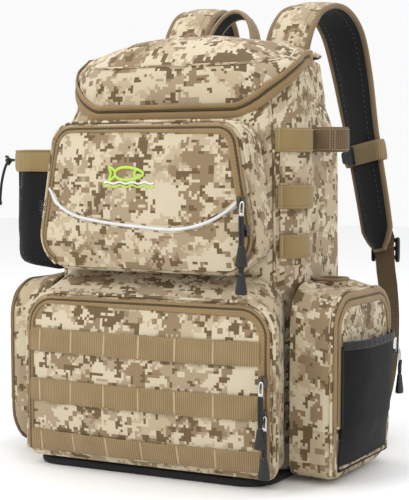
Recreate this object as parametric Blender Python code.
"""Tackle backpack: a soft fishing pack with a hinged lid, two front pockets, two side pockets,
a bottle sleeve, tool loops, a rod holder and padded shoulder straps.

The front of the pack faces -Y, +Z is up, and the origin is the middle of the base's underside.
All lengths below are millimetres; MM turns them into metres when a mesh is made.
"""

import math

import bpy
import bmesh
from mathutils import Vector

MM = 0.001
GAP = 0.5                 # clearance between neighbouring pieces

# ---------------------------------------------------------------- driving dimensions
CLOTH = 3.0               # foam-backed panel fabric
BODY_CLOTH = 4.0          # the padded walls of the main compartment
TAPE = 1.6                # zipper tape, webbing and elastic
BASE_TOP = 8.0
BODY_BOTTOM = BASE_TOP + GAP

# The body's section at each height: height, half width, front, back.
BODY_SECTIONS = (
    (8, 144, -59, 107),
    (25, 147, -60, 110),
    (230, 148, -60, 110),
    (340, 147, -60, 104),
    (390, 142, -59, 97),
    (445, 134, -55, 88),
)
FRONT_RADIUS = 50.0
REAR_RADIUS = 40.0
FRONT_SEAM = 1.42         # where the front panel meets the side panels, in outline steps
REAR_SEAM = 3.5
SEAM_GAP = 0.02           # in outline steps

LID_ZIP_FRONT = 386.0     # height of the lid's zipper at the front and at the sides
LID_ZIP_RISE = 58.0
LID_ZIP_RUN = 72.0
LID_TOP = 470.0
LID_HINGE = (0.0, 88.0, 446.5)

LOWER_FRONT = -107.5      # front of the lower pocket at its edge
LOWER_BULGE = 13.0
LOWER_OUTLINE = ((-150, 10), (150, 10), (150, 191), (-150, 191))
LOWER_ROOT = ((-137, 10), (137, 10), (137, 213), (-137, 213))
LOWER_RADII = (14, 14, 36, 36)
LOWER_HINGE_Z = 17.0

UPPER_FRONT = -97.0
UPPER_BULGE = 17.0
UPPER_OUTLINE = ((-138, 215), (138, 215), (113, 374), (-113, 374))
UPPER_ROOT = ((-136, 218), (136, 218), (115, 374), (-115, 374))
UPPER_RADII = (38, 38, 28, 28)
UPPER_HINGE_Z = 219.0

SIDE_INNER = 149.2        # a side pocket's inner and outer face
SIDE_OUTER = 199.0
SIDE_BULGE = 6.0
SIDE_OUTLINE = ((-60, 5), (105, 5), (105, 197), (-60, 197))
SIDE_ROOT = ((-58, 5), (103, 5), (103, 206), (-58, 206))
SIDE_RADII = (16, 16, 28, 28)
DOOR_HINGE_Z = 58.0

SLANT = 3.0               # room for the slanted rear edge of a front pocket's wall
GUSSET_POINTS = 5         # points along each straight edge of a pocket's wall
LIP = 8.0                 # how far a pocket's gusset turns in round its opening
ZIP_WIDTH = 13.0
ZIP_CLEAR = 1.5           # between a pocket's face and the zipper tape laid over it
WEBBING = 25.0
MOLLE_TOPS = (151.7, 97.0, 42.2)
TOOL_LOOP_TOPS = (367.0, 308.0, 256.5)
TOOL_LOOP_HEIGHT = 26.0

BOTTLE_CENTRE = (-187.0, 5.0)
BOTTLE_RADIUS = 38.0
BOTTLE_BOTTOM = 208.0
BOTTLE_SLOPE = 0.10       # the sleeve's floor rises this much for each millimetre outwards
BOTTLE_BAND = (321.0, 345.0)

ROD_CENTRE = (166.0, 15.0)
ROD_LOOP_RADIUS = 17.0
ROD_LOOP = (342.0, 368.0)

STRAP_WIDTH = 58.0
STRAP_THICKNESS = 11.0
STRAP_PATH = (
    (67, 110, 449), (68, 115, 467), (69, 128, 489), (71, 150, 508), (75, 182, 517),
    (80, 213, 511), (86, 239, 487), (93, 252, 440), (101, 257, 385), (111, 257, 330),
    (121, 255, 280), (131, 252, 226),
)
WEB_PATH = (
    (134, 253, 224), (138, 255, 200), (142, 253, 176), (148, 243, 140), (155, 219, 92),
    (160, 185, 55), (162, 152, 31), (160, 124, 18),
)
STRAP_TOP = STRAP_PATH[0]
STRAP_FOOT = WEB_PATH[-1]
CHEST_BAND = (330.0, 358.0)

FABRIC = dict(colour=(0.70, 0.60, 0.43), roughness=0.85)
TAN = dict(colour=(0.36, 0.25, 0.13), roughness=0.75)
BLACK = dict(colour=(0.02, 0.02, 0.025), roughness=0.8)
PLASTIC = dict(colour=(0.02, 0.02, 0.02), roughness=0.4)
STEEL = dict(colour=(0.6, 0.6, 0.6), roughness=0.3, metallic=1.0)


# ---------------------------------------------------------------- scene and mesh helpers
def clear_scene():
    for obj in list(bpy.data.objects):
        bpy.data.objects.remove(obj)


def material(name, colour, roughness, metallic=0.0):
    made = bpy.data.materials.get(name) or bpy.data.materials.new(name)
    made.use_nodes = True
    shader = made.node_tree.nodes["Principled BSDF"]
    shader.inputs["Base Color"].default_value = (*colour, 1.0)
    shader.inputs["Roughness"].default_value = roughness
    shader.inputs["Metallic"].default_value = metallic
    return made


def body(name, pivot=(0, 0, 0)):
    """An empty on a joint's axis, which the pieces that move about it are parented to."""
    empty = bpy.data.objects.new(name, None)
    empty.location = Vector(pivot) * MM
    bpy.context.scene.collection.objects.link(empty)
    return empty


def add_object(name, data, parent, look):
    obj = bpy.data.objects.new(name, data)
    bpy.context.scene.collection.objects.link(obj)
    obj.parent = parent
    obj.location = -parent.location
    data.materials.append(material(look["name"], **{k: v for k, v in look.items() if k != "name"}))
    return obj


def mesh_from(name, points, faces):
    mesh = bpy.data.meshes.new(name)
    mesh.from_pydata([Vector(p) * MM for p in points], [], faces)
    return mesh


def finish_mesh(mesh):
    mesh.update()
    mesh.shade_smooth()
    mesh.set_sharp_from_angle(angle=math.radians(35))


def sheet(name, rows, thickness, look, parent, inside, closed=False, centre=None):
    """A curved sheet of cloth: rows of points, joined into quads, and thickened away from the outside.

    inside is a point behind the sheet, closed joins each row's ends, and centre closes the last row
    with a fan round that point.
    """
    count = len(rows[0])
    points = [p for row in rows for p in row]
    spans = count if closed else count - 1
    faces = []
    for r in range(len(rows) - 1):
        for c in range(spans):
            d = (c + 1) % count
            faces.append((r * count + c, r * count + d, (r + 1) * count + d, (r + 1) * count + c))
    if centre is not None:
        last = (len(rows) - 1) * count
        points.append(centre)
        for c in range(spans):
            faces.append((last + c, last + (c + 1) % count, len(points) - 1))
    mesh = mesh_from(name, points, faces)
    mesh.update()
    middle = Vector(inside) * MM
    facing = sum(f.area * f.normal.dot(f.center - middle) for f in mesh.polygons)
    if facing < 0:
        mesh.flip_normals()
    finish_mesh(mesh)
    obj = add_object(name, mesh, parent, look)
    solid = obj.modifiers.new("Thickness", "SOLIDIFY")
    solid.thickness = thickness * MM
    solid.offset = -1.0
    solid.use_even_offset = True
    return obj


def loft(name, sections, look, parent):
    """A closed solid through closed sections, with flat ends."""
    count = len(sections[0])
    points = [p for section in sections for p in section]
    faces = []
    for r in range(len(sections) - 1):
        for c in range(count):
            d = (c + 1) % count
            faces.append((r * count + c, r * count + d, (r + 1) * count + d, (r + 1) * count + c))
    faces.append(tuple(reversed(range(count))))
    faces.append(tuple(len(points) - count + c for c in range(count)))
    mesh = mesh_from(name, points, faces)
    shape = bmesh.new()
    shape.from_mesh(mesh)
    bmesh.ops.recalc_face_normals(shape, faces=shape.faces)
    shape.to_mesh(mesh)
    shape.free()
    finish_mesh(mesh)
    return add_object(name, mesh, parent, look)


def block(name, low, high, bevel, look, parent):
    """A box between two corners with its edges rounded."""
    low, high = Vector(low), Vector(high)
    shape = bmesh.new()
    bmesh.ops.create_cube(shape, size=1.0)
    for v in shape.verts:
        v.co = Vector(low[i] + (high[i] - low[i]) * (v.co[i] + 0.5) for i in range(3)) * MM
    bmesh.ops.bevel(shape, geom=list(shape.edges), offset=bevel * MM, segments=2, affect="EDGES",
                    profile=0.5)
    mesh = bpy.data.meshes.new(name)
    shape.to_mesh(mesh)
    shape.free()
    finish_mesh(mesh)
    return add_object(name, mesh, parent, look)


def named(look, name):
    return dict(look, name=name)


# ---------------------------------------------------------------- curves and outlines
def lerp(a, b, t):
    return a + (b - a) * t


def at_height(z, column):
    """The body's half width (1), front (2) or back (3) at a height."""
    rows = BODY_SECTIONS
    if z <= rows[0][0]:
        return rows[0][column]
    for low, high in zip(rows, rows[1:]):
        if z <= high[0]:
            return lerp(low[column], high[column], (z - low[0]) / (high[0] - low[0]))
    return rows[-1][column]


def body_at(step, z):
    """A point on the body's outline at a height.

    Step 0 is the front's middle and 5 the back's; 1 to 2 and 3 to 4 are the corners, and a negative
    step is on the pack's left.
    """
    half, front, back = (at_height(z, c) for c in (1, 2, 3))
    side = -1 if step < 0 else 1
    s = abs(step)
    if s <= 1:
        x, y = s * (half - FRONT_RADIUS), front
    elif s <= 2:
        a = (s - 1) * math.pi / 2
        x = half - FRONT_RADIUS + FRONT_RADIUS * math.sin(a)
        y = front + FRONT_RADIUS - FRONT_RADIUS * math.cos(a)
    elif s <= 3:
        x, y = half, lerp(front + FRONT_RADIUS, back - REAR_RADIUS, s - 2)
    elif s <= 4:
        a = (s - 3) * math.pi / 2
        x = half - REAR_RADIUS + REAR_RADIUS * math.cos(a)
        y = back - REAR_RADIUS + REAR_RADIUS * math.sin(a)
    else:
        x, y = (5 - s) * (half - REAR_RADIUS), back
    return Vector((side * x, y, z))


def body_front_y(x, z):
    """The body's front surface at a place across it."""
    half, front = at_height(z, 1), at_height(z, 2)
    across = min(abs(x) - (half - FRONT_RADIUS), FRONT_RADIUS - 1.0)
    if across <= 0:
        return front
    return front + FRONT_RADIUS - math.sqrt(FRONT_RADIUS ** 2 - across ** 2)


def lid_zip_z(y):
    """The height of the lid's zipper line at a depth."""
    t = min(max((y - BODY_SECTIONS[2][2]) / LID_ZIP_RUN, 0.0), 1.0)
    return LID_ZIP_FRONT + LID_ZIP_RISE * t ** 0.6


def rim_at(step, below=0.0):
    """The point of the body's outline that lies on the lid's zipper line."""
    z = LID_ZIP_FRONT
    for _ in range(12):
        z = lid_zip_z(body_at(step, z).y)
    return body_at(step, z - below)


def steps(first, last, count):
    return [lerp(first, last, i / (count - 1)) for i in range(count)]


def rounded(corners, radii, edge_points=3, corner_points=4):
    """A closed outline through a four-sided figure's corners, each rounded by its own radius."""
    loop = []
    n = len(corners)
    for i in range(n):
        before, here, after = (Vector(corners[j % n]) for j in (i - 1, i, i + 1))
        back, ahead = (before - here).normalized(), (after - here).normalized()
        half_angle = back.angle(ahead) / 2
        cut = radii[i] / math.tan(half_angle)
        centre = here + (back + ahead).normalized() * radii[i] / math.sin(half_angle)
        start, end = here + back * cut - centre, here + ahead * cut - centre
        turn = start.angle(end)
        for k in range(corner_points + 1):
            t = k / corner_points
            mix = start * math.sin((1 - t) * turn) + end * math.sin(t * turn)
            loop.append(centre + mix / math.sin(turn))
        following = Vector(corners[(i + 2) % n])
        next_half = (here - after).angle(following - after) / 2
        next_start = after - ahead * radii[(i + 1) % n] / math.tan(next_half)
        last = loop[-1].copy()
        for k in range(1, edge_points + 1):
            loop.append(last.lerp(next_start, k / (edge_points + 1)))
    return loop


def inset(corners, distance, bottom=None):
    """A four-sided figure, corners listed from the lower left, made smaller all round."""
    (ax, az), (bx, bz), (cx, cz), (dx, dz) = corners
    low = az + distance if bottom is None else bottom
    return ((ax + distance, low), (bx - distance, low), (cx - distance, cz - distance),
            (dx + distance, dz - distance))


def smaller(radii, distance):
    return tuple(max(r - distance, 4.0) for r in radii)


def smooth_path(points, count):
    """Evenly numbered points on a smooth curve through the given ones."""
    pts = [Vector(p) for p in points]
    pts = [pts[0] * 2 - pts[1]] + pts + [pts[-1] * 2 - pts[-2]]
    spans = len(pts) - 3
    path = []
    for i in range(count):
        f = i / (count - 1) * spans
        k = min(int(f), spans - 1)
        t = f - k
        a, b, c, d = pts[k:k + 4]
        path.append(0.5 * (2 * b + (c - a) * t + (2 * a - 5 * b + 4 * c - d) * t ** 2
                           + (3 * b - a - 3 * c + d) * t ** 3))
    return path


def ribbon(path, width, thickness, hint, corner=0.3):
    """Closed sections of a flat band along a path, its width lying as near to hint as it can."""
    sections = []
    for i, p in enumerate(path):
        along = (path[min(i + 1, len(path) - 1)] - path[max(i - 1, 0)]).normalized()
        across = (Vector(hint) - along * along.dot(Vector(hint))).normalized()
        out = along.cross(across)
        w, t, c = width / 2, thickness / 2, thickness * corner
        shape = ((-w, -t + c), (-w + c, -t), (w - c, -t), (w, -t + c),
                 (w, t - c), (w - c, t), (-w + c, t), (-w, t - c))
        sections.append([p + across * a + out * b for a, b in shape])
    return sections


# ---------------------------------------------------------------- frames for the three pocket faces
def on_front(a, b, h):
    return Vector((a, -h, b))


def on_right(a, b, h):
    return Vector((h, a, b))


def on_left(a, b, h):
    return Vector((-h, a, b))


def bulge(a, b, outline, height):
    """How far a pocket's front stands out at a place inside its outline."""
    (x0, z0), (x1, _), (x2, z2), (x3, _) = outline
    rise = min(max((b - z0) / (z2 - z0), 0.0), 1.0)
    low, high = lerp(x0, x3, rise), lerp(x1, x2, rise)
    u = min(abs((a - (low + high) / 2) / ((high - low) / 2)), 1.0)
    v = min(abs((b - (z0 + z2) / 2) / ((z2 - z0) / 2)), 1.0)
    return height * (1 - u ** 2.4) * (1 - v ** 3.0)


def gusset(name, place, root, outline, radii, root_h, face_h, opening, look, parent, thickness):
    """A pocket's wall: from the pack outwards, round the edge, and in to the opening."""
    inner, inner_radii = opening
    depth = 9.0
    bottom = min(outline[0][1] + 4.0, 0.5 * (outline[0][1] + inner[0][1]) + 0.4)
    rows = [
        [place(p.x, p.y, root_h(p.x, p.y)) for p in rounded(root, radii, GUSSET_POINTS)],
        [place(p.x, p.y, face_h - depth) for p in rounded(inset(outline, -0.5), radii, GUSSET_POINTS)],
        [place(p.x, p.y, face_h - 2.5) for p in rounded(inset(outline, 1.2), radii, GUSSET_POINTS)],
        [place(p.x, p.y, face_h)
         for p in rounded(inset(outline, 4.0, bottom), smaller(radii, 4), GUSSET_POINTS)],
        [place(p.x, p.y, face_h) for p in rounded(inner, inner_radii, GUSSET_POINTS)],
    ]
    mid = outline[0][0] + outline[1][0], outline[0][1] + outline[2][1]
    inside = place(mid[0] / 2, mid[1] / 2, face_h - 40)
    return sheet(name, rows, thickness, look, parent, inside, closed=True)


def flap(name, place, figure, radii, lift, look, parent, thickness):
    """A pocket's door: a domed panel, in rings from its edge to its middle."""
    loop = rounded(figure, radii)
    centre = sum(loop, Vector((0, 0))) / len(loop)
    rows = []
    for share in (1.0, 0.94, 0.7, 0.38):
        ring = [centre.lerp(p, share) for p in loop]
        rows.append([place(p.x, p.y, lift(p.x, p.y)) for p in ring])
    middle = place(centre.x, centre.y, lift(centre.x, centre.y))
    inside = place(centre.x, centre.y, lift(centre.x, centre.y) - 80)
    return sheet(name, rows, thickness, look, parent, inside, closed=True, centre=middle)


def zip_path(corners, radii, bottom):
    """The open line of a zipper up one side, round the two upper corners and down the other."""
    edge, corner = 5, 4
    loop = rounded(corners, radii, edge_points=edge, corner_points=corner)
    path = [p for p in loop[2 * (corner + 1) + edge:] if p.y > bottom + 3]
    first = Vector((edge_x(corners[1], corners[2], bottom), bottom))
    last = Vector((edge_x(corners[0], corners[3], bottom), bottom))
    return [first] + path + [last]


def edge_x(low, high, z):
    return lerp(low[0], high[0], (z - low[1]) / (high[1] - low[1]))


def zip_tape(name, place, outline, radii, bottom, lift, parent, inside_h, middle_x=0.0):
    """A zipper round a flap's top and sides: its tape lies over the seam of flap and gusset."""
    shift = Vector((middle_x, 0))
    rows = []
    for offset in (1.5, 1.5 + ZIP_WIDTH / 2, 1.5 + ZIP_WIDTH):
        figure = [(x - middle_x, z) for x, z in inset(outline, offset)]
        path = [p + shift for p in zip_path(figure, smaller(radii, offset), bottom)]
        rows.append([place(p.x, p.y, lift(p.x, p.y)) for p in path])
    centre = place(middle_x, 0.5 * (outline[0][1] + outline[2][1]), inside_h)
    return sheet(name, rows, TAPE, named(TAN, "zipper_tape"), parent, centre)


# ---------------------------------------------------------------- the body
def make_base(parent):
    outline = rounded(((-142, -101), (142, -101), (142, 105), (-142, 105)), (30, 30, 38, 38),
                      edge_points=1, corner_points=5)
    sections = []
    for z, shrink in ((0.0, 3.0), (2.5, 0.5), (BASE_TOP - 2, 0.0), (BASE_TOP, 1.0)):
        k = 1 - shrink / 142
        sections.append([(p.x * k, p.y * k, z) for p in outline])
    loft("base_panel", sections, named(BLACK, "base_cloth"), parent)


def body_panel(name, stations, parent, look):
    rows = []
    levels = (0.0, 0.05, 0.3, 0.6, 0.82, 0.93, 1.0)
    rims = [rim_at(s).z - lerp(1.0, 6.0, min(max((abs(s) - 2.6) / 0.6, 0), 1)) for s in stations]
    for level in levels:
        rows.append([body_at(s, lerp(BODY_BOTTOM, rim, level)) for s, rim in zip(stations, rims)])
    return sheet(name, rows, BODY_CLOTH, look, parent, (0, 20, 220))


def between_seams(first, last, count):
    """Stations from seam to seam, with one close to each so that the cut edges stay square."""
    gap, close = SEAM_GAP / 2, 0.03
    inner = steps(first + gap + close, last - gap - close, count)
    return [first + gap] + inner + [last - gap]


def make_body(parent):
    cloth = named(FABRIC, "camo_cloth")
    body_panel("front_panel", between_seams(-FRONT_SEAM, FRONT_SEAM, 12), parent, cloth)
    side = between_seams(FRONT_SEAM, REAR_SEAM, 10)
    body_panel("right_side_panel", side, parent, cloth)
    body_panel("left_side_panel", [-s for s in side], parent, cloth)
    right = between_seams(REAR_SEAM, 5 + SEAM_GAP / 2 + 0.03, 5)[:-1]
    back = right[:-1] + [-s for s in reversed(right)]
    body_panel("back_panel", back, parent, named(BLACK, "back_cloth"))


def make_back_pad(parent):
    """Three air-mesh cushions on the back, in one piece with two channels between them."""
    back = 110.0 + GAP
    rows = []
    heights = (22, 26, 92, 96, 104, 108, 190, 194, 202, 206, 236)
    lifts = (1.5, 14, 14, 4, 4, 14, 14, 4, 4, 14, 14)
    for x, share in ((-118, 0.1), (-112, 1.0), (0, 1.0), (112, 1.0), (118, 0.1)):
        rows.append([(x, back + 2 + (lift - 2) * share, z) for z, lift in zip(heights, lifts)])
    count = len(heights)
    front = [[(x, back, z) for _, _, z in row] for row, x in zip(rows, (-118, -112, 0, 112, 118))]
    sections = [row + list(reversed(flat)) for row, flat in zip(rows, front)]
    assert len(sections[0]) == 2 * count
    loft("back_pad", sections, named(BLACK, "air_mesh"), parent)


def make_lid(parent):
    """The lid: a domed cap from the zipper line up, its rear edge on the hinge."""
    stations = steps(0, 5, 21)
    loop = stations[:-1] + [-s for s in reversed(stations)][:-1]
    rims = [rim_at(s) + Vector((0, 0, 1.0)) for s in loop]
    middle = Vector((0.0, 22.0, LID_TOP))
    rows = [rims]
    for share, rise in ((0.985, 0.42), (0.95, 0.62), (0.84, 0.84), (0.66, 0.95), (0.4, 0.99)):
        row = []
        for p in rims:
            q = middle.lerp(p, share)
            rear = min(max((p.y - 10) / 70, 0), 1)
            height = lerp(rise, min(rise, (1 - share) * 1.9), rear)
            row.append(Vector((q.x, q.y, lerp(p.z, LID_TOP, height))))
        rows.append(row)
    sheet("lid_shell", rows, CLOTH, named(FABRIC, "camo_cloth"), parent, (0, 22, 380),
          closed=True, centre=middle)


def make_lid_zip(parent):
    """The lid's zipper tape, on the lid's edge from one end of the hinge round to the other."""
    half = steps(0, 3.2, 15)
    stations = [-s for s in reversed(half)][:-1] + half
    rows = []
    for below in (5.0, -1.0, -7.0):
        row = []
        for s in stations:
            p = rim_at(s)
            out = Vector((p.x / 148, (p.y - 20) / 90, 0)).normalized()
            row.append(p + out * (TAPE + 2.0) - Vector((0, 0, below)))
        rows.append(row)
    sheet("lid_zip", rows, TAPE, named(TAN, "zipper_tape"), parent, (0, 20, 410))


# ---------------------------------------------------------------- front pockets
def front_root(x, z):
    """How far forward a front pocket's gusset starts, clear of the body's rounded corners."""
    clear = min(max((abs(x) - 85) / 20, 0), 1) * 3.0
    return -body_front_y(x, z) + SLANT + clear


def make_lower_pocket(pack, door):
    cloth = named(FABRIC, "camo_cloth")
    face = -LOWER_FRONT
    opening = inset(LOWER_OUTLINE, LIP, bottom=LOWER_HINGE_Z - GAP), smaller(LOWER_RADII, LIP)
    gusset("lower_pocket_gusset", on_front, LOWER_ROOT, LOWER_OUTLINE, LOWER_RADII,
           front_root, face, opening, cloth, pack, CLOTH)

    def lift(x, z):
        return face + bulge(x, z, LOWER_OUTLINE, LOWER_BULGE)

    figure = inset(LOWER_OUTLINE, LIP + GAP, bottom=LOWER_HINGE_Z)
    flap("lower_flap", on_front, figure, smaller(LOWER_RADII, LIP), lift, cloth, door, CLOTH)
    zip_tape("lower_zip", on_front, LOWER_OUTLINE, LOWER_RADII, LOWER_HINGE_Z + 1,
             lambda x, z: lift(x, z) + TAPE + ZIP_CLEAR, door, face - 40)
    for number, top in enumerate(MOLLE_TOPS, 1):
        rows = []
        for z in (top, top - WEBBING / 2, top - WEBBING):
            z = max(z, LOWER_HINGE_Z + 3)
            rows.append([(x, -lift(x, z) - TAPE - ZIP_CLEAR, z) for x in steps(-128, 128, 11)])
        sheet(f"molle_webbing_{number}", rows, TAPE, named(TAN, "webbing"), door, (0, -60, top))


def make_upper_pocket(pack, door):
    cloth = named(FABRIC, "camo_cloth")
    face = -UPPER_FRONT
    opening = inset(UPPER_OUTLINE, LIP, bottom=UPPER_HINGE_Z - GAP), smaller(UPPER_RADII, LIP)
    gusset("upper_pocket_gusset", on_front, UPPER_ROOT, UPPER_OUTLINE, UPPER_RADII,
           front_root, face, opening, cloth, pack, CLOTH)

    def lift(x, z):
        return face + bulge(x, z, UPPER_OUTLINE, UPPER_BULGE)

    figure = inset(UPPER_OUTLINE, LIP + GAP, bottom=UPPER_HINGE_Z)
    flap("upper_flap", on_front, figure, smaller(UPPER_RADII, LIP), lift, cloth, door, CLOTH)
    zip_tape("upper_zip", on_front, UPPER_OUTLINE, UPPER_RADII, UPPER_HINGE_Z + 1,
             lambda x, z: lift(x, z) + TAPE + ZIP_CLEAR, door, face - 40)
    rows = [[(x, -lift(x, z) - TAPE - ZIP_CLEAR, z) for x in steps(-42, 26, 6)]
            for z in steps(304, 334, 4)]
    sheet("emblem_patch", rows, TAPE, named(TAN, "patch"), door, (0, -60, 320))


# ---------------------------------------------------------------- side pockets
def make_side_pocket(side, place, pack, door):
    cloth = named(FABRIC, "camo_cloth")
    opening = inset(SIDE_OUTLINE, LIP, bottom=DOOR_HINGE_Z - GAP), (4, 4, 20, 20)
    shell = gusset(f"{side}_pocket_shell", place, SIDE_ROOT, SIDE_OUTLINE, SIDE_RADII,
                   lambda y, z: SIDE_INNER, SIDE_OUTER, opening, cloth, pack, CLOTH)

    def lift(y, z):
        return SIDE_OUTER + bulge(y, z, SIDE_OUTLINE, SIDE_BULGE)

    figure = inset(SIDE_OUTLINE, LIP + GAP, bottom=DOOR_HINGE_Z)
    flap(f"{side}_door", place, figure, (4, 4, 20, 20), lift, cloth, door, CLOTH)
    zip_tape(f"{side}_zip", place, SIDE_OUTLINE, SIDE_RADII, DOOR_HINGE_Z + 1,
             lambda y, z: lift(y, z) + TAPE + ZIP_CLEAR, door, SIDE_OUTER - 40, middle_x=22.5)
    make_mesh_pocket(side, place, lift, door)
    return shell


def make_mesh_pocket(side, place, lift, door):
    """The open-topped mesh pocket on a side door, standing off it in the middle."""
    rows = []
    top, bottom = 146.0, DOOR_HINGE_Z + 3
    for z in steps(bottom, top, 6):
        row = []
        for y in steps(-42, 86, 11):
            u = (y - 22) / 64
            standing = 14 * (1 - abs(u) ** 3)
            row.append(place(y, z, lift(y, z) + TAPE + GAP + 2.6 + standing))
        rows.append(row)
    sheet(f"{side}_mesh_pocket", rows, TAPE, named(BLACK, "mesh"), door, place(22, 100, 100))


def make_rod_sleeve(parent, shell):
    """The rod's socket: a square sleeve let into the top of the right pocket, beside the body."""
    x0, x1, y0, y1 = 150.0, 181.0, -1.0, 31.0
    wall = 2.0
    outline = rounded(((x0, y0), (x1, y0), (x1, y1), (x0, y1)), (8, 8, 8, 8), 1, 3)
    rows = [[(p.x, p.y, z) for p in outline] for z in (208, 150, 90, 40)]
    centre = Vector(((x0 + x1) / 2, (y0 + y1) / 2))
    rows.append([(lerp(centre.x, p.x, 0.5), lerp(centre.y, p.y, 0.5), 37) for p in outline])
    sheet("rod_sleeve", rows, wall, named(FABRIC, "camo_cloth"), parent,
          (centre.x, centre.y, 130), closed=True, centre=(centre.x, centre.y, 36.5))
    cutter = block("rod_sleeve_cutter", (SIDE_INNER - 10, y0 - 2, 188), (x1 + 2, y1 + 2, 225), 1.0,
                   named(FABRIC, "camo_cloth"), parent)
    cutter.hide_render = True
    cutter.display_type = "WIRE"
    cut = shell.modifiers.new("Sleeve hole", "BOOLEAN")
    cut.operation = "DIFFERENCE"
    cut.object = cutter


# ---------------------------------------------------------------- bottle sleeve, tool loops, rod strap
def bottle_outline(grow):
    """A D-shaped section against the pack's left side."""
    cx, cy = BOTTLE_CENTRE
    radius = BOTTLE_RADIUS + grow
    wall = -SIDE_INNER - 0.6
    arc = [Vector((cx - radius * math.cos(a), cy + radius * math.sin(a)))
           for a in steps(-math.pi / 2, math.pi / 2, 11)]
    return [Vector((wall, cy - radius))] + arc + [Vector((wall, cy + radius)), Vector((wall, cy))]


def sleeve_floor(x):
    return BOTTLE_BOTTOM + BOTTLE_SLOPE * max(-x - SIDE_INNER, 0.0)


def make_bottle_sleeve(parent):
    middle = Vector((-180.0, BOTTLE_CENTRE[1]))
    rows = [[(p.x, p.y, z) for p in bottle_outline(0)]
            for z in (BOTTLE_BAND[0] - GAP, 285, 258, BOTTLE_BOTTOM + 30)]
    for share, rise in ((1.0, 13), (0.93, 4), (0.72, 0.5), (0.35, 0)):
        ring = [middle.lerp(p, share) for p in bottle_outline(0)]
        rows.append([(p.x, p.y, sleeve_floor(p.x) + rise) for p in ring])
    sheet("bottle_mesh", rows, TAPE, named(BLACK, "mesh"), parent, (middle.x, middle.y, 270),
          closed=True, centre=(middle.x, middle.y, sleeve_floor(middle.x)))
    rows = [[(p.x, p.y, z) for p in bottle_outline(0.8)] for z in BOTTLE_BAND]
    sheet("bottle_band", rows, TAPE + 0.8, named(TAN, "elastic"), parent,
          (middle.x, middle.y, 333), closed=True)


def make_drawcord(parent):
    """The elastic cord that closes the bottle sleeve, hanging from its band."""
    points = ((-224.5, -15.0, 334), (-229, -17.5, 334.5), (-232.5, -19.5, 330.5), (-235.5, -21, 322),
              (-238, -22.5, 309), (-239.5, -23, 296), (-240, -23.5, 284))
    curve = bpy.data.curves.new("drawcord", "CURVE")
    curve.dimensions = "3D"
    curve.bevel_depth = 1.6 * MM
    curve.bevel_resolution = 2
    curve.use_fill_caps = True
    spline = curve.splines.new("POLY")
    path = smooth_path(points, 18)
    spline.points.add(len(path) - 1)
    for point, place in zip(spline.points, path):
        point.co = (*(place * MM), 1.0)
    add_object("drawcord", curve, parent, named(BLACK, "cord"))


def make_tool_loops(parent):
    """Three elastic loops for pliers on a patch over the right front corner."""
    def offset_point(step, z, out):
        p = body_at(step, z)
        centre = Vector((at_height(z, 1) - FRONT_RADIUS, at_height(z, 2) + FRONT_RADIUS, z))
        normal = (p - centre).normalized() if step <= 2 else Vector((1, 0, 0))
        return p + normal * out

    rows = []
    for z, last in ((372, 2.1), (340, 2.06), (300, 2.0), (260, 1.96), (224, 1.92)):
        rows.append([offset_point(s, z, 2.0) for s in steps(1.5, last, 7)])
    sheet("tool_patch", rows, 1.3, named(FABRIC, "camo_cloth"), parent, (98, -10, 300))
    for name, top in zip(("top", "middle", "bottom"), TOOL_LOOP_TOPS):
        rows = []
        for z in (top, top - TOOL_LOOP_HEIGHT):
            last = lerp(1.93, 2.1, (z - 224) / 148)
            rows.append([offset_point(s, z, 4.3 + 9 * math.sin(math.pi * i / 10) ** 0.6)
                         for i, s in enumerate(steps(1.5, last, 11))])
        sheet(f"tool_loop_{name}", rows, TAPE, named(TAN, "elastic"), parent, (98, -10, top - 13))


def make_rod_strap(parent):
    """The hook-and-loop strap round the rod, from its sewn rear edge to its free front end."""
    cx, cy = ROD_CENTRE
    wall = 148.0 + GAP + 0.3
    arc = [(cx + ROD_LOOP_RADIUS * math.sin(a), cy - ROD_LOOP_RADIUS * math.cos(a))
           for a in steps(0, math.pi, 11)]
    path = [(wall, cy - ROD_LOOP_RADIUS)] + arc + [(wall, cy + ROD_LOOP_RADIUS)]
    rows = [[(x, y, z) for x, y in path] for z in (ROD_LOOP[0], ROD_LOOP[1])]
    sheet("rod_strap", rows, TAPE + 0.4, named(TAN, "webbing"), parent, (cx, cy, 355))


# ---------------------------------------------------------------- zipper sliders
def make_slider(name, at, parent, out):
    """A slider that rides on a zipper's coil; at is the coil's surface and out points away from it."""
    centre = Vector((at[0] + out[0] * 3.2, at[1] + out[1] * 3.2, at[2]))
    half = Vector((2.7 if out[0] else 4.5, 2.7 if out[1] else 4.5, 7.0))
    return block(name, centre - half, centre + half, 1.2, named(STEEL, "slider_metal"), parent)


def make_pull(name, top, drop, parent, out):
    """A cord pull that hangs from a point: a metal tab, a cord and a moulded grip."""
    x, y, z = top
    profile = ((-3, 4.5, 1.6), (14, 4.5, 1.6), (15, 3.4, 3.0), (drop - 26, 3.4, 3.0),
               (drop - 24, 6.0, 4.6), (drop - 10, 8.0, 5.0), (drop, 8.5, 5.0))
    sections = []
    for down, wide, deep in profile:
        w, d, c = wide / 2, deep / 2, 0.3 * deep
        shape = ((-w, -d + c), (-w + c, -d), (w - c, -d), (w, -d + c),
                 (w, d - c), (w - c, d), (-w + c, d), (-w, d - c))
        sections.append([(x + b * out[0] + a * out[1], y + b * out[1] + a * out[0], z - down)
                         for a, b in shape])
    loft(name, sections, named(BLACK, "cord"), parent)


# ---------------------------------------------------------------- handle and shoulder straps
def make_handle(parent):
    """The carry handle: a band that stands up behind the lid, leaning back."""
    path = [Vector((30 * math.cos(a), 104 + 20 * math.sin(a), 453 + 53 * math.sin(a)))
            for a in steps(0, math.pi, 15)]
    loft("carry_handle", ribbon(path, 20, 5, (0, 1, -0.2)), named(TAN, "handle_band"), parent)


def mirrored(points):
    return [Vector((-p[0], p[1], p[2])) for p in points]


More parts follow.
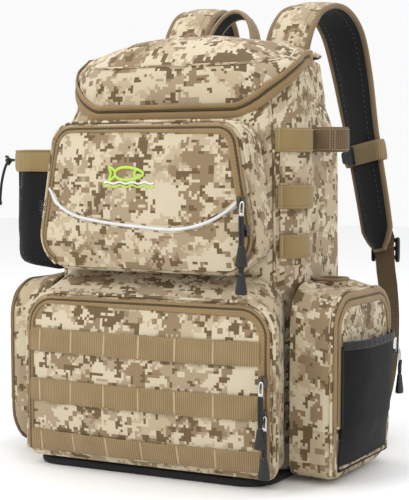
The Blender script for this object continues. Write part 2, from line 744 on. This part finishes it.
def make_yoke(parent):
    """The padded bar across the top of the back that the shoulder straps and handle are sewn to."""
    outline = rounded(((-101, 432), (101, 432), (101, 445), (-101, 445)), (4, 4, 4, 4), 1, 2)
    sections = [[(p.x, y, p.y) for p in outline] for y in (93.0, 116.0)]
    loft("strap_yoke", sections, named(TAN, "yoke"), parent)


def make_foot_band(parent):
    """The webbing across the bottom of the back that both adjusters are sewn to."""
    path = smooth_path(((-156, 121, 13.5), (-138, 113.5, 13.5), (-100, 112.2, 13.5), (0, 112.2, 13.5),
                        (100, 112.2, 13.5), (138, 113.5, 13.5), (156, 121, 13.5)), 21)
    loft("strap_foot_band", ribbon(path, 14.0, 2.0, (0, 0, 1)), named(TAN, "webbing"), parent)


def strap_frame(path, z):
    """The point of a path nearest to a height on its way down, and the direction across its face."""
    falling = path[len(path) // 2:]
    i = min(range(1, len(falling) - 1), key=lambda k: abs(falling[k].z - z))
    along = (falling[i + 1] - falling[i - 1]).normalized()
    across = (Vector((1, 0, 0)) - along * along.x).normalized()
    return falling[i], along, across


def band_sections(centre, along, across, size, wall, height):
    """A flat tube round a strap: its outer figure down, then its inner figure back up."""
    out = along.cross(across)
    loops = []
    for grow, end in ((wall, -0.5), (wall, 0.5), (0.0, 0.5), (0.0, -0.5)):
        w, t, c = size[0] / 2 + grow, size[1] / 2 + grow, 3.0
        shape = ((-w, -t + c), (-w + c, -t), (w - c, -t), (w, -t + c),
                 (w, t - c), (w - c, t), (-w + c, t), (-w, t - c))
        loops.append([centre + across * a + out * b + along * (end * height) for a, b in shape])
    return loops


def ring(name, loops, look, parent):
    """A closed tube through loops of points, the last joined to the first."""
    count = len(loops[0])
    points = [p for loop in loops for p in loop]
    faces = []
    for r in range(len(loops)):
        q = (r + 1) % len(loops)
        for c in range(count):
            d = (c + 1) % count
            faces.append((r * count + c, r * count + d, q * count + d, q * count + c))
    mesh = mesh_from(name, points, faces)
    shape = bmesh.new()
    shape.from_mesh(mesh)
    bmesh.ops.recalc_face_normals(shape, faces=shape.faces)
    shape.to_mesh(mesh)
    shape.free()
    finish_mesh(mesh)
    return add_object(name, mesh, parent, look)


def make_strap(side, parent):
    """A padded strap with its ladder lock, the webbing down to the base and the chest-strap band."""
    path = smooth_path(STRAP_PATH, 29)
    web = smooth_path(WEB_PATH[1:], 15)
    lock = [Vector(WEB_PATH[0]) + Vector((0.6, 0.4, z)) for z in (-9.5, 14)]
    if side == "left":
        path, web, lock = mirrored(path), mirrored(web), mirrored(lock)
    padding = (STRAP_WIDTH, STRAP_THICKNESS)
    loft(f"{side}_shoulder_strap", ribbon(path, *padding, (1, 0, 0)),
         named(FABRIC, "camo_cloth"), parent)
    loft(f"{side}_adjuster_webbing", ribbon(web, WEBBING, 2.4, (1, 0, 0)), named(TAN, "webbing"),
         parent)
    low, high = lock
    block(f"{side}_ladder_lock", (low.x - 18, low.y + STRAP_THICKNESS / 2 + 1.2, low.z - 10),
          (low.x + 18, low.y + STRAP_THICKNESS / 2 + 7, high.z + 4), 2.0, named(PLASTIC, "buckle"),
          parent)
    centre, along, across = strap_frame(path, sum(CHEST_BAND) / 2)
    size = (STRAP_WIDTH + 2, STRAP_THICKNESS + 2)
    ring(f"{side}_chest_band", band_sections(centre, along, across, size, 2.0, WEBBING),
         named(TAN, "webbing"), parent)


# ---------------------------------------------------------------- sliders and pulls
def make_all_sliders():
    """Each slider runs along its own zipper and carries a swinging pull."""
    places = (
        ("upper_slider_1", (118.0, -104.6, 290), (0, -1), -5.5, 54),
        ("upper_slider_2", (122.4, -104.6, 262), (0, -1), 5.5, 44),
        ("lower_slider_1", (142.0, -114.0, 112), (0, -1), -5.5, 60),
        ("lower_slider_2", (142.0, -114.0, 78), (0, -1), 5.5, 54),
        ("right_side_slider", (205.6, 95, 126), (1, 0), 0, 48),
        ("left_side_slider", (-205.6, 95, 126), (-1, 0), 0, 48),
        ("lid_slider", (-138.8, 22, 444), (-1, 0), 0, 48),
    )
    for name, at, out, aside, drop in places:
        rider = body(f"{name}_pivot", at)
        make_slider(name, at, rider, out)
        hang = (at[0] + out[0] * 9 + aside, at[1] + out[1] * 9, at[2] - 2)
        swing = body(f"{name}_pull_pivot", hang)
        make_pull(name.replace("slider", "pull"), hang, drop, swing, out)


# ---------------------------------------------------------------- assembly
def build():
    clear_scene()
    pack = body("pack")
    lid = body("lid", LID_HINGE)
    upper = body("upper_door", (0, UPPER_FRONT - 4, UPPER_HINGE_Z))
    lower = body("lower_door", (0, LOWER_FRONT - 4, LOWER_HINGE_Z))
    right = body("right_door_pivot", (SIDE_OUTER + 4, 22.5, DOOR_HINGE_Z))
    left = body("left_door_pivot", (-SIDE_OUTER - 4, 22.5, DOOR_HINGE_Z))
    make_base(pack)
    make_body(pack)
    make_back_pad(pack)
    make_lid(lid)
    make_lid_zip(lid)
    make_lower_pocket(pack, lower)
    make_upper_pocket(pack, upper)
    shell = make_side_pocket("right", on_right, pack, right)
    make_side_pocket("left", on_left, pack, left)
    make_rod_sleeve(pack, shell)
    make_bottle_sleeve(pack)
    make_drawcord(pack)
    make_tool_loops(pack)
    make_rod_strap(body("rod_strap_pivot", (149, 32, 355)))
    make_handle(body("handle_pivot", (0, 104, 453)))
    make_yoke(pack)
    make_foot_band(pack)
    make_strap("right", body("right_strap_pivot", STRAP_TOP))
    make_strap("left", body("left_strap_pivot", mirrored([STRAP_TOP])[0]))
    make_all_sliders()


build()
